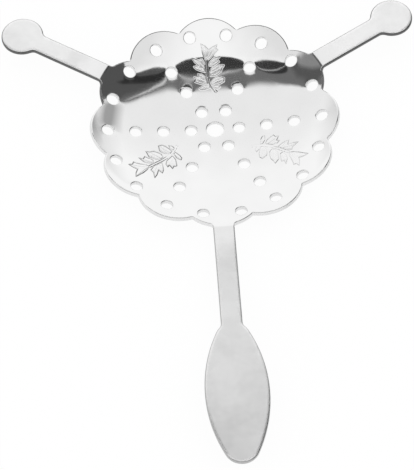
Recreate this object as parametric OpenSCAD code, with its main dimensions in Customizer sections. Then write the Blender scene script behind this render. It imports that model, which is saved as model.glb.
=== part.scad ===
/* [Sheet] */
// Thickness of the metal sheet that the whole spoon is stamped from
sheet_t = 1.4; // [1:0.1:1.8]
// Radius of curvature of the shallow middle of the dish
crown_r = 165; // [140:5:220]
// Distance from the middle of the dish at which its curve tightens
crown_reach = 24.5; // [20:0.5:27]
// Radius of curvature of the dish from there up to its rim
wall_r = 43; // [38:1:60]
// Radius of the bend between the rim and the flat arms
bend_r = 2; // [1.6:0.1:3]

/* [Scallops] */
// Distance from the middle of the dish to the tips of the scallops
dish_r = 37.6; // [36.8:0.2:40]
// Number of scallops round the rim
scallops = 12; // [9:1:18]
// Radius of each scallop
scallop_r = 11.5; // [11:0.1:12.5]
// Radius of the small fillet in the notch between two scallops
notch_r = 0.6; // [0.4:0.1:1]

/* [Holes] */
// Diameter of the hole in the middle
middle_hole_d = 5.2; // [4:0.1:6.4]
// Diameter of the other holes
hole_d = 3.5; // [2.8:0.1:4]
// Number of lines of holes that run out from the middle
hole_lines = 6; // [3:1:8]
// Distance from the middle of the dish to the first hole of a line
line_start = 7.3; // [6.6:0.1:7.8]
// Spacing of the holes along a line
line_step = 8.4; // [8:0.1:8.6]
// Number of holes in a line
line_holes = 3; // [1:1:3]
// Number of holes in the outer ring
ring_holes = 18; // [12:1:24]
// Distance from the middle of the dish to the holes of the outer ring
ring_r = 32.5; // [31.4:0.1:32.8]

/* [Arms] */
// Width of the two arms and of the stem of the handle
arm_w = 6.3; // [5:0.1:7.5]
// Distance from the middle of the dish to the middle of the right arm's round end
right_arm_reach = 65.6; // [58:0.1:72]
// Distance from the middle of the dish to the middle of the left arm's round end
left_arm_reach = 67; // [58:0.1:72]
// Diameter of the round end of an arm
end_d = 12.9; // [10:0.1:15]
// Angle from the top scallop to the right arm
right_arm_a = 60; // [57:0.2:63]
// Angle from the top scallop to the left arm
left_arm_a = 60; // [57:0.2:63]
// Angle by which the left arm leans back towards the top scallop, about the middle of its scallop
left_arm_lean = 2.8; // [0:0.1:4]
// Radius of the fillets where an arm or the handle leaves its scallop
root_fillet_r = 1.3; // [0.6:0.1:2]
// Radius of the fillets where an arm or the handle's stem widens
neck_fillet_r = 2; // [1:0.1:3]

/* [Handle] */
// Distance from the middle of the dish to the middle of the oval grip
grip_reach = 92.9; // [86:0.1:100]
// Length of the oval grip
grip_l = 44.8; // [38:0.1:50]
// Width of the oval grip
grip_w = 18.5; // [15:0.1:21]
// Radius of the two ends of the oval grip
grip_end_r = 5.2; // [4.6:0.1:5.6]

/* [Sprigs] */
// Number of leaf sprigs on the dish
sprigs = 3; // [1:1:3]
// Distance from the middle of the dish to the foot of each sprig
sprig_foot = 12.9; // [12:0.1:13.4]
// Length of a sprig's stalk
stalk_l = 11.6; // [10.4:0.2:12]
// Width of a sprig's stalk
stalk_w = 0.8; // [0.5:0.1:1.2]
// Length of the hooked foot of the stalk
hook_l = 3; // [2:0.1:3.6]
// Angle by which the foot of the stalk leans to one side
hook_a = 26; // [0:1:40]
// Number of pairs of leaves along the stalk
leaf_pairs = 3; // [2:1:4]
// Length of the leaves nearest the foot
leaf_l = 5.2; // [4:0.1:5.4]
// Length of the leaf at the tip
tip_leaf_l = 6; // [4.4:0.1:6.2]
// Width of a leaf lobe as a share of its length
leaf_fullness = 0.38; // [0.3:0.02:0.5]
// Height of the leaves above the dish
leaf_rise = 0.2; // [0.1:0.05:0.4]
// Width of the sunk line round the leaves
line_w = 0.4; // [0.3:0.05:0.5]
// Depth of the sunk line round the leaves
line_depth = 0.2; // [0.1:0.05:0.4]
// Width of the sunk bed that the stalk lies in between the leaves
bed_w = 3.6; // [3:0.1:4]

/* [Hidden] */
$fn = 96;
curve_fn = 360;

// Slope and centre of the dish's two curves, at half the sheet's thickness
crown_a = asin(crown_reach / crown_r);
wall_x = (crown_r - wall_r) * sin(crown_a);
wall_z = crown_r - (crown_r - wall_r) * cos(crown_a);
// Slope and height of the rim, and the middle and top of the bend outside it
rim_a = asin((dish_r - wall_x) / wall_r);
rim_z = wall_z - wall_r * cos(rim_a);
bend_x = dish_r + bend_r * sin(rim_a);
bend_z = rim_z - bend_r * cos(rim_a);
flat_z = bend_z + bend_r;
// Height of the lower edge of the middle hole, which the spoon stands on
under_r = crown_r + sheet_t / 2;
foot_z = crown_r - sqrt(under_r * under_r - middle_hole_d * middle_hole_d / 4);
// Farthest point of the sheet, and a height above all of it
sheet_reach = max(left_arm_reach + end_d / 2, right_arm_reach + end_d / 2,
                  grip_reach + grip_l / 2) + 5;
over_z = flat_z + 8;
// Plan of the scallops
scallop_pitch = 360 / scallops;
scallop_y = dish_r - scallop_r;
notch_y = tangent_y(scallop_y * cos(scallop_pitch / 2), scallop_y * sin(scallop_pitch / 2),
                    scallop_r + notch_r);
// Plan of the grip, whose long sides are arcs that meet its round ends
grip_end_y = grip_l / 2 - grip_end_r;
side_r = (pow(grip_w / 2, 2) + pow(grip_end_y, 2) - pow(grip_end_r, 2)) / (grip_w - 2 * grip_end_r);
side_x = side_r - grip_w / 2;
side_end_y = grip_end_y * side_r / (side_r - grip_end_r);

// Place along y of a circle's middle that lies `across` away and `span` from [0, from_y]
function tangent_y(from_y, across, span) = from_y + sqrt(span * span - across * across);

// Slope of the dish, in degrees, and its height at half the sheet's thickness
function slope(r) = r < crown_reach ? asin(r / crown_r) : asin((r - wall_x) / wall_r);
function middle_z(r) = r < crown_reach ? crown_r - crown_r * cos(slope(r))
                                       : wall_z - wall_r * cos(slope(r));

// Section of all that lies over the surface that is `lift` above half the sheet
module over(lift) {
    // shallow middle
    intersection() {
        translate([0, crown_r]) circle(crown_r - lift, $fn = curve_fn);
        polygon([[0, crown_r], [0, -2 * sheet_t],
                 [0, crown_r] + (crown_r + 2 * sheet_t) * [sin(crown_a), -cos(crown_a)]]);
    }
    // curve up to the rim
    translate([wall_x, wall_z]) circle(wall_r - lift, $fn = curve_fn);
    // bend and flat
    difference() {
        polygon([[bend_x, bend_z], [bend_x - wall_r * sin(rim_a), bend_z + wall_r * cos(rim_a)],
                 [sheet_reach, over_z + wall_r], [sheet_reach, flat_z + lift],
                 [bend_x, flat_z + lift]]);
        translate([bend_x, bend_z]) circle(bend_r + lift);
    }
}

// Layer of the sheet between two heights over half its thickness, out to the radius `reach`
module layer(low, high, reach) {
    rotate_extrude($fn = curve_fn / 2) intersection() {
        difference() {
            over(low);
            over(high);
        }
        translate([0, -sheet_t]) square([reach, over_z + sheet_t]);
    }
}

// Fillets on both sides of a strip of half width `half`, against a circle on the y axis.
// `way` is 1 where the strip leaves the circle's far side and -1 where it meets the near side.
module fillets(half, circle_y, circle_r, fillet_r, way) {
    y = circle_y + way * tangent_y(0, half + fillet_r, circle_r + fillet_r);
    for (side = [-1, 1]) difference() {
        polygon([[0, y], [side * (half + fillet_r), y], [0, circle_y]]);
        translate([side * (half + fillet_r), y]) circle(fillet_r);
    }
}

// Plan of the twelve scallops and the notches between them
module dish_plan() {
    across = scallop_y * sin(scallop_pitch / 2);
    centre_y = scallop_y * cos(scallop_pitch / 2);
    circle(scallop_y);
    for (k = [0 : scallops - 1]) rotate(k * scallop_pitch) {
        translate([0, scallop_y]) circle(scallop_r);
        // fillet in the notch beside this scallop
        rotate(scallop_pitch / 2) difference() {
            polygon([[0, notch_y], [across, centre_y], [-across, centre_y]]);
            translate([0, notch_y]) circle(notch_r);
        }
    }
}

// Plan of an arm along +y, with its round end
module arm_plan(reach) {
    translate([-arm_w / 2, scallop_y]) square([arm_w, reach - scallop_y]);
    translate([0, reach]) circle(end_d / 2);
    fillets(arm_w / 2, scallop_y, scallop_r, root_fillet_r, 1);
    fillets(arm_w / 2, reach, end_d / 2, neck_fillet_r, -1);
}

// Plan of the handle along +y: a stem and an oval grip
module handle_plan() {
    translate([-arm_w / 2, scallop_y]) square([arm_w, grip_reach - scallop_y]);
    fillets(arm_w / 2, scallop_y, scallop_r, root_fillet_r, 1);
    fillets(arm_w / 2, grip_reach - grip_end_y, grip_end_r, neck_fillet_r, -1);
    translate([0, grip_reach]) {
        intersection() {
            translate([side_x, 0]) circle(side_r, $fn = curve_fn);
            translate([-side_x, 0]) circle(side_r, $fn = curve_fn);
            translate([-grip_w, -side_end_y]) square([2 * grip_w, 2 * side_end_y]);
        }
        for (end = [-1, 1]) translate([0, end * grip_end_y]) circle(grip_end_r);
    }
}

// Round hole punched square to the dish, at a distance from its middle along +y
module hole(r, d) {
    translate([0, r, middle_z(r)]) rotate([slope(r), 0, 0])
        cylinder(h = 4 * sheet_t, d = d, center = true);
}

module holes() {
    hole(0, middle_hole_d);
    for (k = [0 : hole_lines - 1], n = [0 : line_holes - 1])
        rotate((k + 0.5) * 360 / hole_lines) hole(line_start + n * line_step, hole_d);
    for (k = [0 : ring_holes - 1])
        rotate((k + 0.5) * 360 / ring_holes) hole(ring_r, hole_d);
}

// Pointed lobe from the origin along +y, made larger all round by `grow`
module lobe(length, grow) {
    width = length * leaf_fullness;
    bow_r = (length * length + width * width) / (4 * width);
    intersection() {
        translate([bow_r - width / 2, length / 2]) circle(bow_r + grow);
        translate([width / 2 - bow_r, length / 2]) circle(bow_r + grow);
    }
}

// Leaf with one long and two short lobes
module leaf(length, grow) {
    lobe(length, grow);
    for (side = [-1, 1]) translate([0, length * 0.22]) rotate(side * 42) lobe(length * 0.62, grow);
}

// Sprig along +y: a stalk with a hooked foot, pairs of leaves that lean forward more and more
// and get smaller, and one leaf at the tip
module sprig_plan(grow) {
    bar_w = stalk_w + 2 * grow;
    translate([-bar_w / 2, hook_l]) square([bar_w, stalk_l - hook_l]);
    translate([0, hook_l]) circle(d = bar_w);
    translate([0, hook_l]) rotate(hook_a)
        translate([-bar_w / 2, -hook_l - grow]) square([bar_w, hook_l + grow]);
    for (pair = [0 : leaf_pairs - 1], side = [-1, 1]) {
        along = pair / leaf_pairs;
        translate([0, hook_l + (stalk_l - hook_l) * along]) rotate(side * (80 - 44 * along))
            leaf(leaf_l * (1 - 0.15 * along), grow);
    }
    translate([0, stalk_l - stalk_w]) leaf(tip_leaf_l, grow);
}

// Plan of the bed between the leaves of a sprig
module sprig_bed() {
    translate([-bed_w / 2, hook_l]) square([bed_w, stalk_l - 2 * stalk_w - hook_l]);
}

// The plan that is given, at the place of each sprig, between two heights over half the sheet
module sprig_layer(low, high) {
    intersection() {
        layer(low, high, dish_r);
        for (k = [0 : sprigs - 1]) rotate(k * 360 / sprigs) translate([0, sprig_foot, -sheet_t])
            linear_extrude(over_z + sheet_t) children();
    }
}

// Plan of all that is cut from the sheet: the dish, the two arms and the handle
module spoon_plan() {
    dish_plan();
    rotate(left_arm_a) translate([0, scallop_y]) rotate(-left_arm_lean) translate([0, -scallop_y])
        arm_plan(left_arm_reach);
    rotate(-right_arm_a) arm_plan(right_arm_reach);
    rotate(180) handle_plan();
}

// The whole spoon is one stamped sheet, which stands on the lower edge of its middle hole
module spoon() {
    color("silver") translate([0, 0, -foot_z]) difference() {
        union() {
            difference() {
                intersection() {
                    layer(-sheet_t / 2, sheet_t / 2, sheet_reach);
                    translate([0, 0, -sheet_t]) linear_extrude(over_z + sheet_t) spoon_plan();
                }
                sprig_layer(sheet_t / 2 - line_depth, sheet_t) {
                    sprig_plan(line_w);
                    sprig_bed();
                }
            }
            sprig_layer(0, sheet_t / 2 + leaf_rise) sprig_plan(0);
        }
        holes();
    }
}

spoon();
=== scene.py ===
import math

import bmesh
import bpy
import numpy as np
from bpy.props import FloatProperty, FloatVectorProperty, PointerProperty
from mathutils import Matrix, Vector


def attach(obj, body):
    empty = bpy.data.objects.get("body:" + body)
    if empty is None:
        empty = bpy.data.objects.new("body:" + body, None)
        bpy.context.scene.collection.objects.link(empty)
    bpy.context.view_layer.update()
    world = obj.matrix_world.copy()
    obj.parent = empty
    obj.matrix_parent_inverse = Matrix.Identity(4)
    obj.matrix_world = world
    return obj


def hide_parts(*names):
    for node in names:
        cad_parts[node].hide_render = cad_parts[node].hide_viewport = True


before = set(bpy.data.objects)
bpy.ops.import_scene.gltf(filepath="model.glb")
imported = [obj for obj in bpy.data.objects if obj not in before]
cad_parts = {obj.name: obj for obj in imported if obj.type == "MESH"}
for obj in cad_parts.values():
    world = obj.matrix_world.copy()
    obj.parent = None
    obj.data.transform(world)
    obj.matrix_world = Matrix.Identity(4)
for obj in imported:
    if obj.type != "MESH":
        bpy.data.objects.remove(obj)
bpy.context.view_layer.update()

bl_info = {
    "name": "Absinthe spoon",
    "version": (1, 0, 0),
    "blender": (4, 5, 0),
    "location": "View3D > Sidebar > Spoon",
    "description": "A pierced and scalloped absinthe spoon stamped from one sheet of steel",
    "category": "Object",
}

# The blank is worked in millimetres, so that Blender's merge distances stay far below its edges
MM = 1000.0

# Counts in the plan: scallops, lines of drain holes, holes in a line and holes in the outer ring
SCALLOPS = 12
LINES = 6
LINE_HOLES = 3
RING_HOLES = 18
# Scallops that carry a limb, counted anticlockwise from the far one
LEFT_ARM, HANDLE, RIGHT_ARM = 2, 6, 10

# How finely the blank is worked, in millimetres, degrees and counts
# Longest and widest step along an arc
ARC_STEP = 0.45
ARC_TURN = 12
# Outline points nearer than the first are one, and a cut nearer to a corner than the second runs
# through it
SAME_PLACE = 0.01
SNAP = 0.00001
# Sides and length of a punch
FACETS = 48
PUNCH_LENGTH = 4.0
# Cuts across the root of a limb for its bend. They start a little inside the dish's edge
BEND_CUTS = 8
BEND_CUT_START = -0.4
BEND_CUT_STEP = 0.2
# The edges start to round like the limbs' a little inside the dish's edge, and do so over a span
ROUNDING_START = -0.5
ROUNDING_SPAN = 2.5
# A point this near the top face is on it, and a length this small is nothing
ON_FACE = 0.001
TINY = 1e-6

# Upright part of a face's normal: a level face has more than the first, a sheared side less than
# the second, and a sheared side with the rounded edges beside it less than the third
LEVEL = 0.999
SHEARED = 0.3
SHEARED_AND_ROUNDED = 0.97
# The sheared edges' material, with the shade painted in it, runs on over the rounded edges on the limbs,
# which start past the dish's edge, and round the scallops on the far side, from a little outside their
# ring of holes
MARKED_LIMB_START = 0.3
MARKED_SCALLOP_START = -3.1
FAR_SIDE = 7.0

# Turn of each sprig about the middle in degrees, and how deep the die bit at its inner and outer
# end: less at the right sprig, and at the outer end of the far one
SPRIGS = ((0, 1.0, 0.4), (120, 1.0, 1.0), (240, 0.6, 0.6))
# Window round a whole sprig, whose middle line runs outwards, and the cuts in each millimetre of it
WINDOW_LEFT, WINDOW_RIGHT = -6.1, 5.1
WINDOW_INNER, WINDOW_OUTER = 12.3, 31.0
SPRIG_CUTS = 7
# Distances from the middle at which a sprig's outer end and its stalk's full height start, and the
# span of each change
OUTER_END = 25.5
FULL_STALK = 17.5
CHANGE_SPAN = 2.5
# Height of the stalk at its foot, and depth of the lines beside it, as shares of the full ones
FOOT_SHARE = 0.35
BESIDE_SHARE = 0.7
# The line beside the stalk starts at this share of the stalk's half width, and its deepest part
# ends at this share of its own half width past the stalk
BESIDE_START = 0.8
BESIDE_DEEPEST = 0.6
# Depth of a leaf's outline at the stalk as a share of the full one, its gain for each millimetre
# away from it, and the most it comes to
OUTLINE_SHARE, OUTLINE_GAIN, OUTLINE_MOST = 0.6, 0.16, 1.1
# Depth and width of a vein as shares of an outline's
VEIN_DEPTH, VEIN_WIDTH = 0.4, 0.7


def linear(hex_colour):
    """sRGB hex value as linear red, green and blue."""
    channels = [int(hex_colour[i:i + 2], 16) / 255 for i in (1, 3, 5)]
    return tuple(c / 12.92 if c <= 0.04045 else ((c + 0.055) / 1.055) ** 2.4 for c in channels)


def length(name, description, default):
    return FloatProperty(name=name, description=description, default=default, min=0.0,
                         precision=5, unit="LENGTH", subtype="DISTANCE")


def angle(name, description, degrees):
    return FloatProperty(name=name, description=description, default=math.radians(degrees),
                         subtype="ANGLE")


def share(name, description, default):
    return FloatProperty(name=name, description=description, default=default, min=0.0, max=1.0)


def colour(name, description, hex_colour):
    return FloatVectorProperty(name=name, description=description, default=linear(hex_colour),
                               subtype="COLOR", size=3, min=0.0, max=1.0)


class SheetSizes(bpy.types.PropertyGroup):
    """Sheet, scallops and curve of the dish."""
    thickness: length("Sheet", "Thickness of the steel sheet", 0.0014)
    edge_round: length("Edge rounding", "Radius of the dish's edges and hole rims", 0.0003)
    dish_radius: length("Dish radius", "From the middle to the tips of the scallops", 0.0376)
    scallop_radius: length("Scallop radius", "Radius of one scallop", 0.0115)
    notch_radius: length("Notch radius", "Fillet between two scallops", 0.0006)
    crown_radius: length("Crown radius", "Curve of the shallow middle of the dish", 0.165)
    crown_reach: length("Crown reach", "Where the curve of the dish tightens", 0.0245)
    wall_radius: length("Wall radius", "Curve of the dish up to its rim", 0.043)
    bend_radius: length("Bend radius", "Bend from the rim to the flat arms", 0.002)


class HoleSizes(bpy.types.PropertyGroup):
    """Punched drain holes."""
    middle_diameter: length("Middle hole", "Diameter of the hole in the middle", 0.0052)
    diameter: length("Drain hole", "Diameter of the other holes", 0.0035)
    line_start: length("Line start", "From the middle to the first hole of a line", 0.0073)
    line_step: length("Line step", "Spacing of the holes along a line", 0.0084)
    ring_radius: length("Ring radius", "From the middle to the outer ring of holes", 0.0325)
    draw_depth: length("Draw depth", "How far the punch pulls the sheet down at a hole", 0.00005)
    draw_width: length("Draw width", "How far from a hole the sheet is pulled down", 0.0007)


class LimbSizes(bpy.types.PropertyGroup):
    """Two arms and the handle."""
    width: length("Width", "Width of the arms and of the handle's stem", 0.0063)
    edge_round: length("Edge rounding", "Radius of the edges of the arms and the handle", 0.00045)
    right_reach: length("Right arm", "From the middle to the right arm's round end", 0.06558)
    left_reach: length("Left arm", "From the middle to the left arm's round end", 0.067)
    left_lean: angle("Left lean", "Lean of the left arm about the middle of its scallop", -2.8)
    end_diameter: length("Round end", "Diameter of an arm's round end", 0.0129)
    root_fillet: length("Root fillet", "Fillet where a limb leaves its scallop", 0.0013)
    neck_fillet: length("Neck fillet", "Fillet where a limb widens", 0.002)
    grip_reach: length("Grip reach", "From the middle of the dish to the middle of the grip", 0.09288)
    grip_length: length("Grip length", "Length of the oval grip", 0.0448)
    grip_width: length("Grip width", "Width of the oval grip", 0.0185)
    grip_end: length("Grip ends", "Radius of the ends of the grip", 0.0052)


class SprigSizes(bpy.types.PropertyGroup):
    """Three stamped leaf sprigs."""
    rise: length("Rise", "Height of the stalk above the dish", 0.00006)
    leaf_slope: angle("Leaf slope", "Slope of a leaf at its edge, which eases to its middle", 9)
    leaf_ease: length("Leaf ease", "How far from its edge the slope of a leaf eases", 0.0005)
    line_depth: length("Line depth", "Depth of the sunk line round the leaves", 0.0001)
    line_width: length("Line width", "Width of the sunk lines", 0.00027)
    stalk_width: length("Stalk width", "Width of the stalk", 0.0006)


class FinishLook(bpy.types.PropertyGroup):
    """Colour and polish of the steel, and the shade painted on its sheared edges."""
    face: colour("Face", "Colour of the polished faces", "#F8F8F8")
    cloud: colour("Cloud", "Colour of the faces where the polish is duller", "#F1F1F1")
    satin: colour("Satin", "Colour of the satin faces", "#FCFCFC")
    wear: colour("Wear", "Colour of the satin faces where hands have worn them", "#E8E8E8")
    dish_cut: colour("Dish edge", "Colour of the dish's sheared edges", "#E6E6E6")
    # Painted shade: the arms' sheared edges and the far scallops' rims are painted dark grey for the
    # shaded floor they reflect, on top of the duller sheared steel
    arm_edge_painted_shade: colour("Arm edge", "Colour of the sheared edges of the arms", "#666666")
    # Painted shade on the handle's sheared edges, a lighter grey than on the arms
    handle_edge_painted_shade: colour("Handle edge", "Colour of the handle's sheared edges, worn lighter", "#BABABA")
    # Grey mixed into the sunk lines where they are deepest
    line_grey: colour("Residue", "Colour of the polish left in the sunk lines", "#969696")
    leaf_roughness: share("Leaf roughness", "Roughness of the leaves, matt from the die", 0.22)
    dish_roughness: share("Dish roughness", "Roughness of the polished dish", 0.05)
    dish_uneven: share("Dish unevenness", "Share by which the dish's roughness varies", 0.4)
    limb_roughness: share("Limb roughness", "Roughness of the satin arms and handle", 0.24)
    limb_uneven: share("Limb unevenness", "Share by which the limbs' roughness varies", 0.1)
    cut_smooth: share("Edge smoothest", "Roughness of the sheared edges where they are smoothest", 0.25)
    cut_rough: share("Edge roughest", "Roughness of the sheared edges where they are roughest", 0.45)
    satin_start: length("Satin start", "From the middle to where the polish turns to satin", 0.0365)
    satin_full: length("Satin full", "From the middle to where the satin is full", 0.048)
    grain_width: length("Grain width", "Width of the satin grain", 0.001176)
    grain_depth: length("Grain depth", "Depth of the satin grain", 0.00002)
    grain_strength: share("Grain strength", "How much of its depth the grain shows", 0.1)
    edge_roll: length("Edge roll", "How far tumbling has softened the limbs' edges", 0.0012)
    cloud_width: length("Cloud width", "Width of the clouds in the polish", 0.00833)
    wear_width: length("Wear width", "Width of the patches that hands have worn", 0.01538)
    shear_width: length("Shear width", "Distance of the marks on the sheared edges", 0.0004)


class StageLook(bpy.types.PropertyGroup):
    """Camera and studio."""
    lens: FloatProperty(name="Lens", description="Focal length on a 36 mm sensor, in millimetres",
                        default=196.8, min=10.0)
    distance: length("Distance", "From the camera to the aim", 0.78)
    elevation: angle("Elevation", "Height of the camera above the table", 59)
    azimuth: angle("Azimuth", "Turn of the camera about the spoon", -1.83)
    roll: angle("Roll", "Turn of the camera about its own axis", -2.38)
    aim_left: length("Aim left", "How far the camera aims to the left of the dish's middle", 0.00249)
    aim_low: length("Aim low", "How far the camera aims below the dish's middle", 0.03173)
    aim_height: length("Aim height", "Height over the table of the level that the camera aims at",
                       0.00068)
    card_height: length("Card height", "Height of the cards over the table", 6)
    wall_place: length("Wall place", "From the middle of the dish to the wall the cards are set for",
                       0.027)
    shadow: share("Shadow", "Share of the floor's light that the spoon can shade", 0.08)


def activate(piece):
    bpy.ops.object.select_all(action="DESELECT")
    piece.select_set(True)
    bpy.context.view_layer.objects.active = piece


def apply_modifier(piece, kind, **settings):
    modifier = piece.modifiers.new(kind.lower(), kind)
    for key, value in settings.items():
        setattr(modifier, key, value)
    activate(piece)
    bpy.ops.object.modifier_apply(modifier=modifier.name)


def ramp(value, start, span):
    """0 up to start, rising evenly to 1 over the span."""
    return np.clip((value - start) / span, 0, 1)


# Plan of the blank

def turned(points, turn):
    """Points turned about the middle of the dish, anticlockwise."""
    c, s = math.cos(turn), math.sin(turn)
    return [(x * c - y * s, x * s + y * c) for x, y in points]


def arc(centre, radius, start, end):
    """Points along an arc between two angles in degrees."""
    span = math.radians(end - start)
    steps = max(2, math.ceil(abs(span) * radius / ARC_STEP), math.ceil(abs(end - start) / ARC_TURN))
    angles = [math.radians(start) + span * i / steps for i in range(steps + 1)]
    return [(centre[0] + radius * math.cos(a), centre[1] + radius * math.sin(a)) for a in angles]


def bearing(start, end):
    return math.degrees(math.atan2(end[1] - start[1], end[0] - start[0]))


def mirrored(points):
    """The same points on the other side of the y axis, in the order that goes on round."""
    return [(-x, y) for x, y in reversed(points)]


def limb_outline(sizes, limbs, lean, head):
    """Outline of one limb along +y, from its right root fillet to its left one, and the bearings
    from the scallop's middle at which the two fillets touch it."""
    ry = (sizes.dish_radius - sizes.scallop_radius) * MM
    rs, rf = sizes.scallop_radius * MM, limbs.root_fillet * MM
    off = limbs.width * MM / 2 + rf
    root = (off, math.sqrt((rs + rf) ** 2 - off ** 2))
    up = arc(root, rf, bearing(root, (0, 0)) % 360, 180)
    head = [(x, y - ry) for x, y in head]
    leant = turned(up + head + mirrored(up), lean)
    touch, lean = bearing((0, 0), root), math.degrees(lean)
    return [(x, y + ry) for x, y in leant], touch + lean, 180 - touch + lean


def neck(limbs, middle, radius):
    """Right neck fillet against a round end: its points going up, and the bearing it stops at."""
    rn, half = limbs.neck_fillet * MM, limbs.width * MM / 2
    centre = (half + rn, middle[1] - math.sqrt((radius + rn) ** 2 - (half + rn) ** 2))
    stop = bearing(centre, middle)
    return arc(centre, rn, 180, stop), stop - 180


def arm_head(limbs, reach):
    middle, radius = (0, reach * MM), limbs.end_diameter * MM / 2
    up, stop = neck(limbs, middle, radius)
    return up + arc(middle, radius, stop, 180 - stop) + mirrored(up)


def grip_head(limbs):
    end, reach = limbs.grip_end * MM, limbs.grip_reach * MM
    half_width, end_y = limbs.grip_width * MM / 2, limbs.grip_length * MM / 2 - end
    side = (half_width ** 2 + end_y ** 2 - end ** 2) / (2 * half_width - 2 * end)
    meet = math.degrees(math.atan2(end_y, side - half_width))
    near = (0, reach - end_y)
    up, stop = neck(limbs, near, end)
    right = up + arc(near, end, stop, -meet) + arc((half_width - side, reach), side, -meet, meet)
    return right + arc((0, reach + end_y), end, meet, 180 - meet) + mirrored(right)


def blank_outline(sizes, limbs):
    """Outline of the whole blank, anticlockwise."""
    ry = (sizes.dish_radius - sizes.scallop_radius) * MM
    rs, rn = sizes.scallop_radius * MM, sizes.notch_radius * MM
    half_pitch = math.pi / SCALLOPS
    across, along = ry * math.sin(half_pitch), ry * math.cos(half_pitch)
    notch = (0, along + math.sqrt((rs + rn) ** 2 - across ** 2))
    notch_arc = arc(notch, rn, bearing(notch, (across, along)), bearing(notch, (-across, along)))
    first = bearing((0, ry), turned([notch], -half_pitch)[0])
    heads = {
        LEFT_ARM: (limbs.left_lean, arm_head(limbs, limbs.left_reach)),
        HANDLE: (0, grip_head(limbs)),
        RIGHT_ARM: (0, arm_head(limbs, limbs.right_reach)),
    }
    points = []
    for k in range(SCALLOPS):
        turn = k * 2 * half_pitch
        if k in heads:
            limb, start, stop = limb_outline(sizes, limbs, *heads[k])
            points += turned(arc((0, ry), rs, first, start) + limb, turn)
            points += turned(arc((0, ry), rs, stop, 180 - first), turn)
        else:
            points += turned(arc((0, ry), rs, first, 180 - first), turn)
        points += turned(notch_arc, turn + half_pitch)
    kept = [points[0]]
    for p in points[1:]:
        if min(math.dist(p, kept[-1]), math.dist(p, points[0])) > SAME_PLACE:
            kept.append(p)
    return kept


def hole_places(holes):
    """Middle and radius of every hole: the middle one, the lines and the outer ring."""
    found = [(0, 0, holes.middle_diameter * MM / 2)]
    small = holes.diameter * MM / 2
    for k in range(LINES):
        turn = math.radians(360 * (k + 0.5) / LINES)
        for n in range(LINE_HOLES):
            reach = (holes.line_start + n * holes.line_step) * MM
            found.append((*turned([(0, reach)], turn)[0], small))
    for k in range(RING_HOLES):
        turn = math.radians(360 * (k + 0.5) / RING_HOLES)
        found.append((*turned([(0, holes.ring_radius * MM)], turn)[0], small))
    return found


# Working of the blank

def cut_blank(sizes, limbs):
    """Flat blank: a ring of edges drawn out to the plan, filled and given its thickness."""
    outline = blank_outline(sizes, limbs)
    bpy.ops.mesh.primitive_circle_add(vertices=len(outline), radius=10, fill_type="NOTHING")
    blank = bpy.context.object
    low = -sizes.thickness * MM / 2
    for vertex, (x, y) in zip(blank.data.vertices, outline):
        vertex.co = (x, y, low)
    bpy.ops.object.mode_set(mode="EDIT")
    bpy.ops.mesh.select_all(action="SELECT")
    bpy.ops.mesh.edge_face_add()
    bpy.ops.mesh.extrude_region_move(
        TRANSFORM_OT_translate={"value": (0, 0, sizes.thickness * MM)})
    bpy.ops.mesh.select_all(action="SELECT")
    bpy.ops.mesh.normals_make_consistent(inside=False)
    bpy.ops.object.mode_set(mode="OBJECT")
    return blank


def punch_holes(blank, holes):
    """Punches all the holes with one set of round punches."""
    punches = []
    for x, y, radius in hole_places(holes):
        bpy.ops.mesh.primitive_cylinder_add(vertices=FACETS, radius=radius, depth=PUNCH_LENGTH,
                                            location=(x, y, 0))
        punches.append(bpy.context.object)
    activate(punches[0])
    for punch in punches:
        punch.select_set(True)
    bpy.ops.object.join()
    apply_modifier(blank, "BOOLEAN", object=punches[0], operation="DIFFERENCE", solver="EXACT")
    bpy.data.objects.remove(punches[0])


def rounding(reach, sizes, limbs):
    """Radius of the edges at a distance from the middle: small on the dish, larger beyond it."""
    beyond = ramp(reach, sizes.dish_radius * MM + ROUNDING_START, ROUNDING_SPAN)
    return (sizes.edge_round + (limbs.edge_round - sizes.edge_round) * beyond) * MM


def round_edges(blank, sizes, limbs):
    """Rounds the rims of the outline and of the holes."""
    activate(blank)
    mesh = bmesh.new()
    mesh.from_mesh(blank.data)
    weight = mesh.edges.layers.float.new("bevel_weight_edge")
    for edge in mesh.edges:
        least, most = sorted(abs(face.normal.z) for face in edge.link_faces)
        if least < SHEARED and most > LEVEL:
            middle = (edge.verts[0].co + edge.verts[1].co) / 2
            edge[weight] = rounding(middle.xy.length, sizes, limbs) / (limbs.edge_round * MM)
    mesh.to_mesh(blank.data)
    mesh.free()
    apply_modifier(blank, "BEVEL", limit_method="WEIGHT", width=limbs.edge_round * MM,
                   segments=4, use_clamp_overlap=False, loop_slide=False)


def bisect(place, normal):
    bpy.ops.mesh.select_all(action="SELECT")
    bpy.ops.mesh.bisect(plane_co=place, plane_no=normal, threshold=SNAP)


def score_blank(blank, sizes, limbs):
    """Cuts the faces finely enough to follow the dish and the bends."""
    activate(blank)
    bpy.ops.object.mode_set(mode="EDIT")
    for scallop in (LEFT_ARM, RIGHT_ARM, HANDLE):
        turn = 2 * math.pi * scallop / SCALLOPS
        way = (-math.sin(turn), math.cos(turn), 0)
        for cut in range(BEND_CUTS):
            reach = sizes.dish_radius * MM + BEND_CUT_START + BEND_CUT_STEP * cut
            bisect([reach * c for c in way], way)
    bpy.ops.mesh.select_all(action="DESELECT")
    bpy.ops.mesh.select_mode(type="FACE")
    mesh = bmesh.from_edit_mesh(blank.data)
    for face in mesh.faces:
        face.select_set(abs(face.normal.z) < LEVEL)
    bmesh.update_edit_mesh(blank.data)
    bpy.ops.mesh.hide(unselected=False)
    limit = math.floor(sizes.dish_radius * MM)
    for line in range(-limit, limit + 1):
        bisect((line, 0, 0), (1, 0, 0))
        bisect((0, line, 0), (0, 1, 0))
    bpy.ops.mesh.reveal(select=False)
    bpy.ops.object.mode_set(mode="OBJECT")


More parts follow.
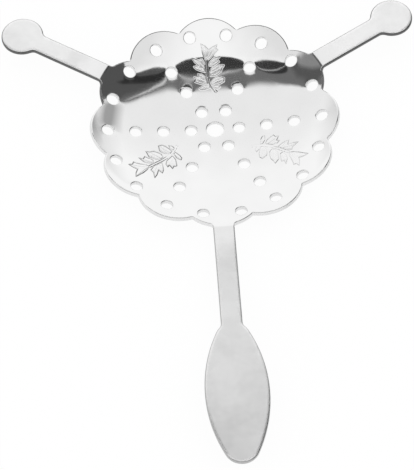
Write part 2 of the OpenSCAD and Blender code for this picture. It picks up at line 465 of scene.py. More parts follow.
def refine_sprigs(blank):
    """Cuts the top face finely where the sprigs are stamped."""
    activate(blank)
    bpy.ops.object.mode_set(mode="EDIT")
    bpy.ops.mesh.select_all(action="DESELECT")
    bpy.ops.mesh.select_mode(type="FACE")
    mesh = bmesh.from_edit_mesh(blank.data)
    for face in mesh.faces:
        if len(face.verts) != 4 or face.normal.z < LEVEL:
            continue
        middle = face.calc_center_median()
        for turn, *_ in SPRIGS:
            if in_window(*turned([(middle.x, middle.y)], -math.radians(turn))[0]):
                face.select_set(True)
    bmesh.update_edit_mesh(blank.data)
    bpy.ops.mesh.subdivide(number_cuts=SPRIG_CUTS)
    bpy.ops.object.mode_set(mode="OBJECT")


# Artwork of one leaf sprig, in millimetres. The middle of the dish is at (0, 0) and y runs outwards
LEAVES = (
    ((-0.9, 24.4), (-1.6, 25.6), (-2.0, 27.2), (-2.3, 30.1), (-1.2, 29.4), (-0.1, 28.1),
     (1.0, 28.8), (2.6, 29.5), (2.2, 28.4), (2.8, 27.7), (1.9, 27.0), (1.1, 26.1), (0.1, 25.0)),
    ((-1.5, 23.0), (-2.3, 24.8), (-3.5, 24.6), (-5.3, 25.4), (-4.7, 24.1), (-3.5, 22.8),
     (-5.0, 22.4), (-4.2, 21.5), (-3.0, 20.9), (-1.6, 20.4)),
    ((-1.4, 17.4), (-1.8, 18.7), (-2.8, 19.7), (-3.9, 19.8), (-3.6, 19.0), (-5.2, 18.9),
     (-4.7, 18.1), (-5.0, 17.2), (-3.9, 16.7), (-2.9, 16.3), (-1.2, 16.3)),
    ((-0.8, 15.6), (-2.4, 15.7), (-3.8, 14.9), (-3.4, 14.4), (-2.2, 14.4), (-0.5, 14.9)),
    ((-0.4, 22.6), (0.3, 24.0), (1.3, 24.9), (3.3, 25.4), (2.4, 24.4), (2.9, 23.6), (1.9, 23.0),
     (1.2, 22.5), (0.5, 22.2)),
    ((-0.3, 20.0), (0.3, 21.3), (1.4, 21.9), (2.3, 22.6), (4.3, 22.3), (3.6, 21.3), (3.2, 20.2),
     (2.3, 19.5), (1.2, 18.9), (-0.2, 19.0)),
    ((-0.2, 16.4), (0.5, 17.4), (1.4, 18.2), (2.4, 18.6), (4.1, 17.9), (3.9, 16.8), (2.9, 16.2),
     (1.6, 15.8), (0.3, 15.6)),
    ((0.3, 14.9), (1.3, 15.6), (2.6, 15.1), (2.0, 14.5), (0.9, 14.3)),
)
VEINS = (
    ((-1.0, 25.0), (-1.5, 27.2), (-2.1, 29.6)),
    ((-0.8, 25.2), (0.6, 27.2), (2.1, 28.9)),
    ((-1.8, 22.0), (-3.0, 23.6), (-4.8, 25.0)),
    ((-2.2, 21.5), (-4.4, 22.1)),
    ((-1.5, 17.0), (-3.0, 17.9), (-4.8, 18.6)),
    ((-0.1, 22.9), (1.2, 24.0), (2.9, 25.1)),
    ((0.0, 20.0), (1.8, 20.8), (3.9, 22.0)),
    ((0.1, 16.3), (1.8, 17.2), (3.7, 17.6)),
)
STALK = ((-1.0, 24.4), (-1.0, 20.2), (-0.85, 18.0), (-0.45, 16.3), (0.1, 14.9), (1.1, 13.2))


def off_line(px, py, points):
    """Distance of every point from a drawn line."""
    near = np.full_like(px, np.inf)
    for (ax, ay), (bx, by) in zip(points, points[1:]):
        dx, dy = bx - ax, by - ay
        t = np.clip(((px - ax) * dx + (py - ay) * dy) / (dx * dx + dy * dy), 0, 1)
        near = np.minimum(near, np.hypot(px - ax - t * dx, py - ay - t * dy))
    return near


def within(px, py, points):
    """Whether each point lies within a closed outline."""
    found = np.zeros(px.shape, bool)
    for (ax, ay), (bx, by) in zip(points, points[1:] + points[:1]):
        if ay != by:
            found ^= ((ay > py) != (by > py)) & (px < (bx - ax) * (py - ay) / (by - ay) + ax)
    return found


def bell(distance, width):
    return np.exp(-(distance / width) ** 2)


def in_window(x, y):
    return (x > WINDOW_LEFT) & (x < WINDOW_RIGHT) & (y > WINDOW_INNER) & (y < WINDOW_OUTER)


def draw_sprig(x, y, fade, sprigs):
    """Height of one sprig, how much of a sunk line each point lies in, and whether it lies on a
    leaf. The leaves flatten where the die's bite fades."""
    rise, sunk, half_line = sprigs.rise * MM, sprigs.line_depth * MM, sprigs.line_width * MM / 2
    half_stalk, ease = sprigs.stalk_width * MM / 2, sprigs.leaf_ease * MM
    height, line, leafy = np.zeros_like(x), np.zeros_like(x), np.zeros_like(x)
    roof = math.tan(sprigs.leaf_slope) * ease * fade ** 2
    stalk = off_line(x, y, STALK)
    outline = np.minimum(OUTLINE_SHARE + OUTLINE_GAIN * stalk, OUTLINE_MOST)
    for leaf in LEAVES:
        edge = off_line(x, y, leaf + leaf[:1])
        inside = within(x, y, leaf)
        height += roof * (1 - np.exp(-edge / ease)) * inside
        leafy = np.maximum(leafy, inside)
        line = np.maximum(line, outline * bell(edge, half_line))
    for vein in VEINS:
        line = np.maximum(line, VEIN_DEPTH * bell(off_line(x, y, vein), half_line * VEIN_WIDTH))
    foot = FOOT_SHARE + (1 - FOOT_SHARE) * ramp(y, FULL_STALK, CHANGE_SPAN)
    beside = bell(np.maximum(stalk - half_stalk - half_line * BESIDE_DEEPEST, 0), half_line)
    beside *= BESIDE_SHARE * foot * (stalk > half_stalk * BESIDE_START)
    line = np.maximum(line * (stalk > half_stalk), beside)
    ridge = np.clip(1 - (stalk / half_stalk) ** 2, 0, 1)
    height = height * (1 - bell(stalk, half_stalk)) - sunk * line + rise * foot * ridge
    return height, line, leafy


def sprig_relief(x, y, sprigs):
    """The same over the whole flat blank, with each sprig as deep as its die bit."""
    height, line, leafy = np.zeros_like(x), np.zeros_like(x), np.zeros_like(x)
    for turn, inner_bite, outer_bite in SPRIGS:
        px, py = turned([(x, y)], -math.radians(turn))[0]
        near = in_window(px, py)
        bite = inner_bite + (outer_bite - inner_bite) * ramp(py[near], OUTER_END, CHANGE_SPAN)
        part, drawn, leafy[near] = draw_sprig(px[near], py[near], bite / inner_bite, sprigs)
        height[near] = part * bite
        line[near] = drawn * bite
    return height, line, leafy


def sprig_height(x, y, sprigs):
    return sprig_relief(x, y, sprigs)[0]


def draw_down(x, y, holes):
    """How far the sheet is pulled down round the holes."""
    height = np.zeros_like(x)
    for hx, hy, radius in hole_places(holes):
        away = np.hypot(x - hx, y - hy) - radius
        height -= holes.draw_depth * MM * np.exp(-np.maximum(away, 0) / (holes.draw_width * MM))
    return height


def gradient(height, x, y, *more):
    """Slope of a height along x and along y."""
    step = 0.02
    return ((height(x + step, y, *more) - height(x - step, y, *more)) / (2 * step),
            (height(x, y + step, *more) - height(x, y - step, *more)) / (2 * step))


def section(radius, sizes):
    """Height and slope of the dish at half the sheet's thickness."""
    crown, wall = sizes.crown_radius * MM, sizes.wall_radius * MM
    reach, bend, rim = sizes.crown_reach * MM, sizes.bend_radius * MM, sizes.dish_radius * MM
    crown_a = math.asin(reach / crown)
    wall_x = (crown - wall) * math.sin(crown_a)
    wall_z = crown - (crown - wall) * math.cos(crown_a)
    rim_a = math.asin((rim - wall_x) / wall)
    bend_x = rim + bend * math.sin(rim_a)
    bend_z = wall_z - wall * math.cos(rim_a) - bend * math.cos(rim_a)
    in_crown = np.arcsin(np.clip(radius / crown, 0, 1))
    in_wall = np.arcsin(np.clip((radius - wall_x) / wall, -1, 1))
    in_bend = np.arcsin(np.clip((bend_x - radius) / bend, 0, 1))
    slope = np.where(radius < reach, in_crown, np.where(radius < rim, in_wall, in_bend))
    z = np.where(radius < reach, crown - crown * np.cos(in_crown),
                 np.where(radius < rim, wall_z - wall * np.cos(in_wall),
                          bend_z + bend * np.cos(in_bend)))
    return z, slope


def press_dish(blank, sizes, holes, limbs, sprigs):
    """Stamps the sprigs, pulls the sheet down at the holes and presses the flat blank into the
    dish, all at once, and gives every corner the true normal of the pressed surface. No tool
    bends a sheet along a curve as exactly as its own formula, and the polish would show it."""
    mesh = blank.data
    corners, normals = np.empty((2, len(mesh.vertices) * 3))
    mesh.vertices.foreach_get("co", corners)
    mesh.vertices.foreach_get("normal", normals)
    x, y, h = corners.reshape(-1, 3).T
    nx, ny, _ = normals.reshape(-1, 3).T
    half, rim = sizes.thickness * MM / 2, rounding(np.hypot(x, y), sizes, limbs)
    # share of a normal that stands up from the sheet, through the rounded edges
    upright = ramp(np.abs(h), half - rim, rim)
    level = np.sqrt(1 - upright ** 2) / np.maximum(np.hypot(nx, ny), TINY)
    nx, ny, nz = nx * level, ny * level, upright * np.sign(h)
    above, on_face = h > 0, h > half - ON_FACE
    pulled = np.where(above, draw_down(x, y, holes), 0)
    pull = [np.where(above, g, 0) for g in gradient(draw_down, x, y, holes)]
    stamped, line, leafy = [np.where(on_face, part, 0) for part in sprig_relief(x, y, sprigs)]
    stamp = [np.where(on_face, g, 0) for g in gradient(sprig_height, x, y, sprigs)]
    nx, ny = nx - (pull[0] + stamp[0]) * nz, ny - (pull[1] + stamp[1]) * nz
    radius = np.maximum(np.hypot(x, y), TINY)
    ux, uy = x / radius, y / radius
    z, slope = section(radius, sizes)
    c, s = np.cos(slope), np.sin(slope)
    lift = h + pulled + stamped
    place = np.stack([x - ux * s * lift, y - uy * s * lift, z + c * lift], 1)
    out, around = (nx * ux + ny * uy) * c, -nx * uy + ny * ux
    normal = np.stack([out * c * ux - around * uy - nz * s * ux,
                       out * c * uy + around * ux - nz * s * uy,
                       out * s + nz * c], 1)
    normal /= np.linalg.norm(normal, axis=1)[:, None]
    foot, lean = section(np.array([holes.middle_diameter * MM / 2]), sizes)
    place[:, 2] -= foot[0] - half * math.cos(lean[0])
    mesh.vertices.foreach_set("co", (place / MM).ravel())
    mesh.attributes.new("sunk_line", "FLOAT", "POINT").data.foreach_set("value", line)
    mesh.attributes.new("leaf", "FLOAT", "POINT").data.foreach_set("value", leafy)
    mesh.update()
    mesh.polygons.foreach_set("use_smooth", [True] * len(mesh.polygons))
    mesh.normals_split_custom_set_from_vertices(normal.tolist())


def add_node(tree, kind, settings=None, **links):
    """Adds a node. Settings are its own, and links are its inputs: a value or a socket each."""
    node = tree.nodes.new(kind)
    for key, value in (settings or {}).items():
        setattr(node, key, value)
    for key, value in links.items():
        socket = node.inputs[int(key[1:])] if key[1:].isdigit() else node.inputs[key.replace("_", " ")]
        if isinstance(value, bpy.types.NodeSocket):
            tree.links.new(value, socket)
        else:
            socket.default_value = value
    return node


def new_material(name):
    material = bpy.data.materials.new(name)
    material.use_nodes = True
    material.node_tree.nodes.clear()
    return material, material.node_tree


def reach_of(tree, place):
    """Distance from the middle of the dish, seen from above."""
    flat = add_node(tree, "ShaderNodeVectorMath", {"operation": "MULTIPLY"}, _0=place, _1=(1, 1, 0))
    return add_node(tree, "ShaderNodeVectorMath", {"operation": "LENGTH"},
                    _0=flat.outputs[0]).outputs["Value"]


# Values that nearly all of a noise lies between, values of the noise between which the wear sets in, and
# depths of a sunk line between which it turns grey
NOISE_LOW, NOISE_HIGH = 0.1, 0.9
WORN_LOW, WORN_HIGH = 0.4, 0.75
LINE_GREY_LOW, LINE_GREY_HIGH = 0.3, 1.0


def steel_roughness(tree, look, on_limb, cloud):
    """Bright in the dish, satin on the limbs and matt on the leaves."""
    polish = add_node(tree, "ShaderNodeMapRange", Value=cloud, From_Min=NOISE_LOW, From_Max=NOISE_HIGH,
                      To_Min=look.dish_roughness * (1 - look.dish_uneven),
                      To_Max=look.dish_roughness * (1 + look.dish_uneven))
    satin = add_node(tree, "ShaderNodeMapRange", Value=cloud, From_Min=NOISE_LOW, From_Max=NOISE_HIGH,
                     To_Min=look.limb_roughness * (1 - look.limb_uneven),
                     To_Max=look.limb_roughness * (1 + look.limb_uneven))
    sheet = add_node(tree, "ShaderNodeMix", _0=on_limb, _2=polish.outputs[0], _3=satin.outputs[0])
    leaf = add_node(tree, "ShaderNodeAttribute", {"attribute_name": "leaf"})
    return add_node(tree, "ShaderNodeMix", _0=leaf.outputs["Fac"], _2=sheet.outputs[0],
                    _3=look.leaf_roughness).outputs[0]


def steel_tint(tree, look, place, on_limb, cloud):
    """Clouded in the dish, worn by hands on the limbs, and grey in the sunk lines."""
    polish = add_node(tree, "ShaderNodeMix", {"data_type": "RGBA"}, _0=cloud,
                      _6=(*look.face, 1), _7=(*look.cloud, 1))
    # patches of wear with fine streaks in them
    wear = add_node(tree, "ShaderNodeTexNoise", Vector=place, Scale=1 / look.wear_width, Detail=6.0,
                    Roughness=0.65)
    worn = add_node(tree, "ShaderNodeMapRange", Value=wear.outputs[0], From_Min=WORN_LOW,
                    From_Max=WORN_HIGH)
    satin = add_node(tree, "ShaderNodeMix", {"data_type": "RGBA"}, _0=worn.outputs[0],
                     _6=(*look.satin, 1), _7=(*look.wear, 1))
    sheet = add_node(tree, "ShaderNodeMix", {"data_type": "RGBA"}, _0=on_limb,
                     _6=polish.outputs[2], _7=satin.outputs[2])
    # grey where the sunk lines are deepest
    line = add_node(tree, "ShaderNodeAttribute", {"attribute_name": "sunk_line"})
    line_grey_share = add_node(tree, "ShaderNodeMapRange", Value=line.outputs["Fac"], From_Min=LINE_GREY_LOW,
                    From_Max=LINE_GREY_HIGH)
    return add_node(tree, "ShaderNodeMix", {"data_type": "RGBA"}, _0=line_grey_share.outputs[0],
                    _6=sheet.outputs[2], _7=(*look.line_grey, 1)).outputs[2]


def steel_grain(tree, look, place, on_limb):
    """Satin grain on the limbs, whose edges tumbling has rolled softly."""
    grain = add_node(tree, "ShaderNodeTexNoise", Vector=place, Scale=1 / look.grain_width, Detail=2.0)
    roll = add_node(tree, "ShaderNodeMapRange", Value=on_limb, To_Min=0.0, To_Max=look.edge_roll)
    rolled = add_node(tree, "ShaderNodeBevel", {"samples": 6}, Radius=roll.outputs[0])
    amount = add_node(tree, "ShaderNodeMapRange", Value=on_limb, To_Min=0.0,
                      To_Max=look.grain_strength)
    return add_node(tree, "ShaderNodeBump", Strength=amount.outputs[0], Distance=look.grain_depth,
                    Height=grain.outputs[0], Normal=rolled.outputs[0]).outputs[0]


def stamped_steel(look):
    """Stainless steel sheet, polished in the dish and satin on the arms and the handle, with matt leaves
    and grey in the deepest part of the sunk lines round them."""
    material, tree = new_material("stainless_steel_polished_and_satin")
    place = add_node(tree, "ShaderNodeTexCoord").outputs["Object"]
    on_limb = add_node(tree, "ShaderNodeMapRange", {"interpolation_type": "SMOOTHSTEP"},
                       Value=reach_of(tree, place), From_Min=look.satin_start,
                       From_Max=look.satin_full).outputs[0]
    cloud = add_node(tree, "ShaderNodeTexNoise", Vector=place, Scale=1 / look.cloud_width,
                     Detail=2.0).outputs[0]
    shader = add_node(tree, "ShaderNodeBsdfPrincipled", Metallic=1.0,
                      Base_Color=steel_tint(tree, look, place, on_limb, cloud),
                      Roughness=steel_roughness(tree, look, on_limb, cloud),
                      Normal=steel_grain(tree, look, place, on_limb))
    add_node(tree, "ShaderNodeOutputMaterial", Surface=shader.outputs[0])
    return material


# Reach at which the edge takes the handle's painted shade, distance past the middle towards the far side
# from which it takes the arms' darker painted shade, and reach that tells the rim from the holes, in
# metres
HANDLE_SHADE_FROM, HANDLE_SHADE_TO = 0.0375, 0.039
FAR_SHADE_FROM, FAR_SHADE_TO = 0.0065, 0.009
RIM_CUT_FROM = 0.0345


def cut_steel(look):
    """The same steel where the press sheared it: duller, with shade painted into its colour, darkest on
    the arms and the far scallops' rims and lighter on the handle.
    """
    material, tree = new_material("stainless_steel_sheared_edge_painted_shade")
    place = add_node(tree, "ShaderNodeTexCoord").outputs["Object"]
    reach = reach_of(tree, place)
    # painted shade, lighter grey from the dish's edge out along the handle
    handle_painted_shade = add_node(tree, "ShaderNodeMapRange", Value=reach, From_Min=HANDLE_SHADE_FROM,
                         From_Max=HANDLE_SHADE_TO)
    # painted shade, darkest on the far side over the arms and the far scallops' rims
    along = add_node(tree, "ShaderNodeSeparateXYZ", Vector=place)
    far_shade_ramp = add_node(tree, "ShaderNodeMapRange", Value=along.outputs["Y"], From_Min=FAR_SHADE_FROM,
                        From_Max=FAR_SHADE_TO)
    on_rim = add_node(tree, "ShaderNodeMath", {"operation": "GREATER_THAN"}, _0=reach,
                      _1=RIM_CUT_FROM)
    far_painted_shade = add_node(tree, "ShaderNodeMath", {"operation": "MULTIPLY"}, _0=far_shade_ramp.outputs[0],
                      _1=on_rim.outputs[0])
    # painted shade mixed into the edge colour: the handle's lighter grey first, then the arms' dark grey
    # over it
    worn = add_node(tree, "ShaderNodeMix", {"data_type": "RGBA"}, _0=handle_painted_shade.outputs[0],
                    _6=(*look.dish_cut, 1), _7=(*look.handle_edge_painted_shade, 1))
    painted_edge_colour = add_node(tree, "ShaderNodeMix", {"data_type": "RGBA"}, _0=far_painted_shade.outputs[0],
                    _6=worn.outputs[2], _7=(*look.arm_edge_painted_shade, 1))
    marks = add_node(tree, "ShaderNodeTexNoise", Vector=place, Scale=1 / look.shear_width, Detail=2.0)
    rough = add_node(tree, "ShaderNodeMapRange", Value=marks.outputs[0], To_Min=look.cut_smooth,
                     To_Max=look.cut_rough)
    shader = add_node(tree, "ShaderNodeBsdfPrincipled", Base_Color=painted_edge_colour.outputs[2], Metallic=1.0,
                      Roughness=rough.outputs[0])
    add_node(tree, "ShaderNodeOutputMaterial", Surface=shader.outputs[0])
    return material


def mark_cuts(blank, sizes):
    """Gives the sheared edges the second material, with the rounded edges beside them on the limbs and
    the far scallops, so that the shade painted in it covers those too."""
    for face in blank.data.polygons:
        past_edge = face.center.xy.length - sizes.dish_radius * MM
        on_limb = past_edge > MARKED_LIMB_START
        on_far_scallop = past_edge > MARKED_SCALLOP_START and face.center.y > FAR_SIDE
        limit = SHEARED_AND_ROUNDED if on_limb or on_far_scallop else SHEARED
        face.material_index = int(abs(face.normal.z) < limit)


class SPOON_OT_stamp_spoon(bpy.types.Operator):
    """Cuts, punches, rounds, stamps and presses the spoon from one flat blank"""
    bl_idname = "spoon.stamp_spoon"
    bl_label = "Stamp spoon"

    def execute(self, context):
        scene = context.scene
        sizes, holes, limbs = scene.spoon_sheet, scene.spoon_holes, scene.spoon_limbs
        blank = cut_blank(sizes, limbs)
        punch_holes(blank, holes)
        round_edges(blank, sizes, limbs)
        score_blank(blank, sizes, limbs)
        refine_sprigs(blank)
        apply_modifier(blank, "TRIANGULATE", min_vertices=5)
        blank.data.materials.append(stamped_steel(scene.spoon_finish))
        blank.data.materials.append(cut_steel(scene.spoon_finish))
        mark_cuts(blank, sizes)
        press_dish(blank, sizes, holes, limbs, scene.spoon_sprigs)
        blank.name = blank.data.name = "stamped_spoon"
        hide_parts("spoon")
        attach(blank, "root")
        return {"FINISHED"}


def white_light(tree):
    """1 for the rays that see the white backdrop: straight, in gloss and through glass."""
    path = add_node(tree, "ShaderNodeLightPath")
    some = add_node(tree, "ShaderNodeMath", {"operation": "MAXIMUM"},
                    _0=path.outputs["Is Camera Ray"], _1=path.outputs["Is Glossy Ray"])
    return add_node(tree, "ShaderNodeMath", {"operation": "MAXIMUM"}, _0=some.outputs[0],
                    _1=path.outputs["Is Transmission Ray"]).outputs[0]


def floor_paper(look):
    """White paper, lit mostly from below so that the spoon's shadow on it stays faint."""
    material, tree = new_material("white_paper")
    seen = white_light(tree)
    glow = add_node(tree, "ShaderNodeEmission", Color=(1, 1, 1, 1), Strength=1 - look.shadow)
    shade = add_node(tree, "ShaderNodeBsdfDiffuse", Color=(look.shadow, look.shadow, look.shadow, 1))
    lit = add_node(tree, "ShaderNodeAddShader", _0=glow.outputs[0], _1=shade.outputs[0])
    plain = add_node(tree, "ShaderNodeBsdfDiffuse", Color=(0.8, 0.8, 0.8, 1))
    mixed = add_node(tree, "ShaderNodeMixShader", _0=seen, _1=plain.outputs[0], _2=lit.outputs[0])
    add_node(tree, "ShaderNodeOutputMaterial", Surface=mixed.outputs[0])
    return material


def card_felt(name, tone):
    """Card that only the metal sees, faded out by its own corner values."""
    material, tree = new_material(name)
    cover = add_node(tree, "ShaderNodeAttribute", {"attribute_name": "cover"})
    clear = add_node(tree, "ShaderNodeBsdfTransparent")
    felt = add_node(tree, "ShaderNodeEmission", Color=(*linear(tone), 1))
    mixed = add_node(tree, "ShaderNodeMixShader", _0=cover.outputs["Fac"], _1=clear.outputs[0],
                     _2=felt.outputs[0])
    add_node(tree, "ShaderNodeOutputMaterial", Surface=mixed.outputs[0])
    return material


# Dark room over the camera: its sides as shares of the cards' height, and its edges as heights over
# the backdrop's horizon in degrees
DARK_ROOM_SIDES = (-2, -1, 1, 2)
DARK_ROOM_RISES = (108, 116, 134, 142)
# Dark room at the right: its place, ends and heights in metres
DARK_WALL_PLACE = 2.5
DARK_WALL_ENDS = (-3, -1.5, 1.2, 3)
DARK_WALL_HEIGHTS = (0, 0.05, 1.6, 2.6)
# How far each card over the spoon hangs below the last, the floor's side, and how far the floor
# lies below the spoon, in metres
CARD_GAP = 0.01
FLOOR_SIZE = 6
FLOOR_GAP = 0.00002

# Cards over the spoon, from the farthest to the nearest, which shape what its polish reflects: the
# white backdrop, the dark gap over it with its light slits, and the softbox overhead. Each has its
# tone, how many degrees its lower and upper edges fade over, and its columns. A column has its side
# angle and the heights of the two edges over the backdrop's horizon, as the dish's far wall sees
# them, in degrees.
CARDS = (
    ("backdrop_falloff", "#F1F1F1", 16, 6,
     ((-60, 60, 68), (-40, 60, 68), (40, 60, 68), (60, 60, 68))),
    ("backdrop_right_side", "#D8D8D8", 16, 16,
     ((-22, 40, 50), (-42, 40, 50), (-60, 40, 50), (-70, 40, 50))),
    ("backdrop_left_side", "#D4D4D4", 16, 16,
     ((22, 40, 50), (42, 40, 50), (60, 40, 50), (70, 40, 50))),
    ("softbox_right_side", "#E8E8E8", 6, 20,
     ((-2, 82, 100), (-22, 82, 100), (-50, 82, 100), (-60, 82, 100))),
    ("softbox_left_side", "#E8E8E8", 6, 20,
     ((6, 82, 100), (24, 82, 100), (50, 82, 100), (60, 82, 100))),
    ("grey_flag", "#A4A4A4", 6, 3,
     ((21, 59, 62), (29, 55, 62), (34, 52, 62), (39, 50, 62))),
    ("gap_lower", "#6C6C6C", 1.3, 1.0,
     ((-62, 62, 74), (-38, 63, 75), (-30, 64.5, 75), (-24, 66.5, 74), (-20, 67.1, 74.5),
      (-16, 67.1, 73), (-12, 66.4, 71.5), (-9, 65.8, 70.5), (-6.5, 66.6, 70), (0, 66.6, 70),
      (6, 66.6, 70), (8.5, 66.6, 69), (12, 64.8, 68), (18, 64.6, 70), (24, 64.2, 74),
      (30, 63, 78), (40, 62, 80), (60, 61, 80))),
    ("gap_right_haze", "#8A8A8A", 2, 5,
     ((-23, 72, 73), (-27, 73, 75), (-30, 73, 78), (-34, 73, 82), (-42, 73, 84), (-60, 73, 84))),
    ("gap_right_wing", "#565656", 3, 3,
     ((-20.5, 72, 73.5), (-24, 71.5, 74.5), (-29, 71, 74), (-34, 70, 72.5), (-44, 69, 71),
      (-60, 68, 70))),
    ("gap_right_band", "#303030", 0.5, 0.2,
     ((-20.6, 74.2, 75.2), (-19, 72.6, 75.8), (-17.3, 71.8, 74.9), (-15, 71, 73.5), (-12.8, 70.3, 72.3),
      (-11, 69.7, 71.4), (-9.3, 69.2, 70.7), (-8, 69, 70.3), (-7, 68.9, 70))),
    ("gap_right_lens", "#383838", 0.3, 0.7,
     ((-20.5, 76, 76.6), (-19, 75.8, 77.1), (-16, 74.1, 77.1), (-13.5, 72.7, 76.7),
      (-11.5, 71.7, 76), (-9.5, 70.8, 74.6), (-8, 70.3, 72.2), (-7.2, 70.1, 70.6))),
    ("gap_middle_lens", "#383838", 0.3, 0.8,
     ((-5.2, 70.2, 71), (-4.4, 69.9, 73.6), (-3, 69.8, 74.4), (0, 69.8, 74.7), (4, 69.4, 75),
      (6, 69.4, 75), (7, 69.6, 74.2), (8, 70, 71))),
    ("gap_left_wing", "#525252", 2.6, 0.8,
     ((9.2, 68.5, 69), (10.4, 68.2, 72.2), (11.8, 68, 73.7), (13.5, 68, 75.4), (15.5, 68, 76.2),
      (22, 68, 76.4), (26, 67.5, 79), (29, 67, 83), (33, 66, 85), (40, 65, 86), (60, 64, 88))),
    ("gap_left_band", "#2C2C2C", 0.6, 0.4,
     ((9, 68.6, 69.2), (9.8, 68, 69.9), (10.8, 68, 70.6), (12.5, 68.9, 71.6), (15, 69.7, 72.6),
      (18, 70.6, 73.4), (21, 71.2, 73.9), (24, 71.7, 73.3), (28, 72.3, 73.3), (33, 73, 73.6))),
    ("dark_line_left", "#404040", 0.4, 0.2,
     ((8.6, 67, 67.4), (9.1, 66.6, 67.1), (9.7, 66.1, 66.5), (10.4, 65.6, 66), (11, 65.2, 65.6),
      (11.8, 64.7, 65.1), (14, 64.7, 65.1), (17, 64.8, 65.2), (20, 64.5, 64.9), (24, 63.8, 64.2))),
    ("light_slit_left", "#D8D8D8", 0.15, 0.15,
     ((8.5, 68.6, 69.6), (8.75, 67.5, 68.8), (9.05, 66.95, 67.55), (9.7, 66.5, 67), (10.4, 66.05, 66.6),
      (11, 65.6, 66.15), (11.8, 65.1, 65.6), (14, 65.15, 65.65), (17, 65.3, 65.6), (20, 65, 65.3),
      (23, 64.35, 64.6))),
    ("light_slit_middle", "#C8C8C8", 0.2, 0.2,
     ((-5, 69.2, 69.5), (-1.6, 69.25, 69.55), (-0.9, 69, 69.3), (1.5, 68.4, 68.7), (4.4, 68.05, 68.35),
      (5.4, 68.3, 68.6), (6, 68.45, 68.75), (6.4, 68.65, 68.95), (6.7, 69, 69.3), (7.2, 69.6, 69.9))),
    ("light_slit_right", "#B4B4B4", 0.2, 0.2,
     ((-20, 76, 76.1), (-18.9, 75.15, 75.3), (-17.3, 74, 74.2), (-16.2, 73.5, 73.7), (-14.9, 72.6, 72.8),
      (-12.8, 71.55, 71.85), (-10.9, 70.7, 71), (-9.3, 70, 70.35), (-8.6, 69.7, 70.05),
      (-7.3, 69.5, 69.85), (-6.6, 69.6, 69.9))),
)


def soft_card(name, tone, columns, place):
    """Card of four rows of corners that only the metal sees. A function puts each corner in its
    place by its row and column, and the outer corners are clear, so that the edges fade."""
    bpy.ops.mesh.primitive_grid_add(x_subdivisions=columns - 1, y_subdivisions=3, size=1)
    card = bpy.context.object
    card.name = name
    covers = []
    for i, vertex in enumerate(card.data.vertices):
        row, column = divmod(i, columns)
        vertex.co = place(row, column)
        covers.append(float(0 < row < 3 and 0 < column < columns - 1))
    card.data.attributes.new("cover", "FLOAT", "POINT").data.foreach_set("value", covers)
    card.data.materials.append(card_felt(name + "_felt", tone))
    card.visible_camera = False
    card.visible_diffuse = False
    card.visible_shadow = False
    card.visible_transmission = False


def hang_card(look, layer, name, tone, fade_low, fade_high, columns):
    """One of the cards over the spoon, each a little lower than the one before."""
    height = look.card_height - CARD_GAP * layer

    def place(row, column):
        side, low, high = columns[column]
        rise = math.radians((low - fade_low, low, high, high + fade_high)[row])
        off = height * math.tan(math.radians(side)) / math.sin(rise)
        return off, look.wall_place + height / math.tan(rise), height

    soft_card(name, tone, len(columns), place)


def dark_room(look):
    """The dark room over the camera and at its right."""
    height = look.card_height

    def over_camera(row, column):
        rise = math.radians(DARK_ROOM_RISES[row])
        return DARK_ROOM_SIDES[column] * height, height / math.tan(rise), height

    def at_right(row, column):
        return DARK_WALL_PLACE, DARK_WALL_ENDS[column], DARK_WALL_HEIGHTS[row]

    soft_card("dark_room_behind_camera", "#404040", len(DARK_ROOM_SIDES), over_camera)
    soft_card("dark_room_right", "#505050", len(DARK_WALL_ENDS), at_right)


def light_backdrop(scene):
    """White all round, which lights the spoon evenly."""
    scene.world = bpy.data.worlds.new("white_backdrop")
    scene.world.use_nodes = True
    tree = scene.world.node_tree
    tree.nodes.clear()
    glow = add_node(tree, "ShaderNodeBackground", Color=(1, 1, 1, 1), Strength=1.0)
    add_node(tree, "ShaderNodeOutputWorld", Surface=glow.outputs[0])


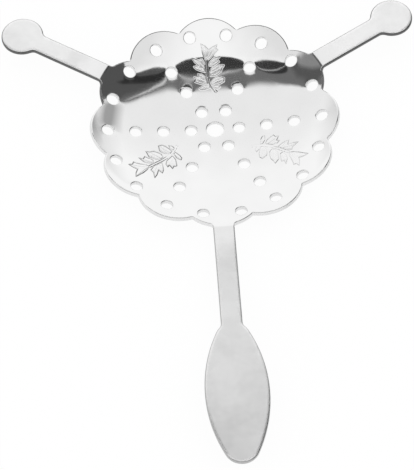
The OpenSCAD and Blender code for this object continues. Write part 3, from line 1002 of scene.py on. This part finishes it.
def aim_camera(look):
    """The camera at the photograph's viewing angle."""
    e, a, r = look.elevation, look.azimuth, look.roll
    back = Vector((math.sin(a) * math.cos(e), -math.cos(a) * math.cos(e), math.sin(e)))
    right = Vector((math.cos(a), math.sin(a), 0))
    up = back.cross(right)
    right, up = (math.cos(r) * right + math.sin(r) * up, -math.sin(r) * right + math.cos(r) * up)
    # off the dish's middle by the photograph's framing
    aim = Vector((0, 0, look.aim_height)) - look.aim_left * right - look.aim_low * up
    camera = bpy.data.objects.new("camera", bpy.data.cameras.new("camera"))
    bpy.context.scene.collection.objects.link(camera)
    camera.data.lens = look.lens
    camera.data.clip_end = 20
    turn = Matrix((right, up, back)).transposed().to_4x4()
    camera.matrix_world = Matrix.Translation(aim + look.distance * back) @ turn
    bpy.context.scene.camera = camera


class SPOON_OT_set_stage(bpy.types.Operator):
    """Lays the white floor and sets the dark cards, the light and the camera"""
    bl_idname = "spoon.set_stage"
    bl_label = "Set stage"

    def execute(self, context):
        look = context.scene.spoon_stage
        bpy.ops.object.select_all(action="DESELECT")
        bpy.ops.mesh.primitive_plane_add(size=FLOOR_SIZE, location=(0, 0, -FLOOR_GAP))
        floor = context.object
        floor.name = "floor"
        floor.data.materials.append(floor_paper(look))
        for layer, card in enumerate(CARDS):
            hang_card(look, layer, *card)
        dark_room(look)
        light_backdrop(context.scene)
        context.scene.view_settings.view_transform = "Standard"
        aim_camera(look)
        return {"FINISHED"}


class SPOON_PT_panel(bpy.types.Panel):
    """Sizes, looks and steps of the spoon"""
    bl_label = "Absinthe spoon"
    bl_idname = "SPOON_PT_panel"
    bl_space_type = "VIEW_3D"
    bl_region_type = "UI"
    bl_category = "Spoon"

    def draw(self, context):
        for name in GROUPS:
            group = getattr(context.scene, name)
            box = self.layout.box()
            for key in group.bl_rna.properties.keys():
                if key not in ("rna_type", "name"):
                    box.prop(group, key)
        for operator in OPERATORS:
            self.layout.operator(operator.bl_idname)


GROUPS = {
    "spoon_sheet": SheetSizes,
    "spoon_holes": HoleSizes,
    "spoon_limbs": LimbSizes,
    "spoon_sprigs": SprigSizes,
    "spoon_finish": FinishLook,
    "spoon_stage": StageLook,
}
OPERATORS = (SPOON_OT_stamp_spoon, SPOON_OT_set_stage)


def register():
    for kind in (*GROUPS.values(), *OPERATORS, SPOON_PT_panel):
        bpy.utils.register_class(kind)
    for name, kind in GROUPS.items():
        setattr(bpy.types.Scene, name, PointerProperty(type=kind))


def unregister():
    for name in GROUPS:
        delattr(bpy.types.Scene, name)
    for kind in reversed((*GROUPS.values(), *OPERATORS, SPOON_PT_panel)):
        bpy.utils.unregister_class(kind)


def main():
    register()
    bpy.ops.spoon.stamp_spoon()
    bpy.ops.spoon.set_stage()


if __name__ == "__main__":
    main()
